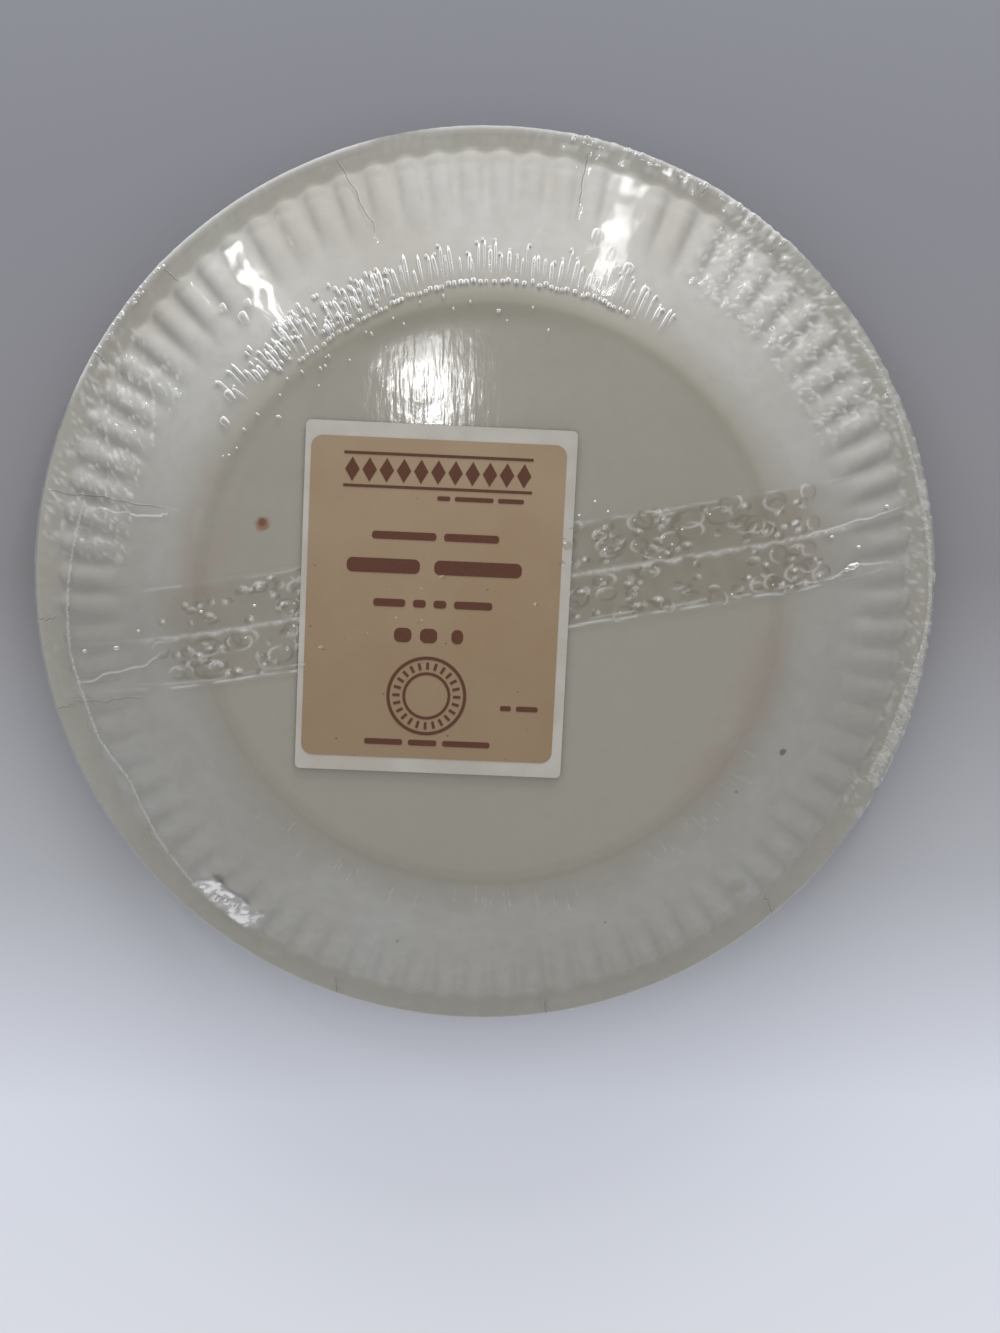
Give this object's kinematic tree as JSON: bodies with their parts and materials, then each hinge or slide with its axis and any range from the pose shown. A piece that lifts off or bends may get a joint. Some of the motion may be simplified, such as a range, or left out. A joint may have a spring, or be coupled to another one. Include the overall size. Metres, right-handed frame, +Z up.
{
  "type": "stack of paper plates",
  "caption": "Sealed stack of round fluted paper plates, rims down, in clear lapped shrink film with a rectangular paper label on the plates' backs.",
  "frame": {"origin": "middle of the pack on the surface it rests on, at the lowest face of the film", "axes": "+Z up, out of the plates' backs, across the pack's least extent; +Y towards the label's upper edge"},
  "size_m": [0.1785, 0.1784, 0.0246],
  "materials": {
    "board": "matt coated board",
    "film": "clear glossy film",
    "label_paper": "smooth",
    "tan_ink": "smooth print",
    "brown_ink": "smooth print"
  },
  "bodies": {
    "root": {"plate_1": "board", "plate_2": "board", "plate_3": "board", "plate_4": "board", "plate_5": "board", "plate_6": "board", "plate_7": "board", "plate_8": "board", "shrink_film": "film", "label": "label_paper", "label_panel": "tan_ink", "label_print": "brown_ink"}
  },
  "joints": []
}
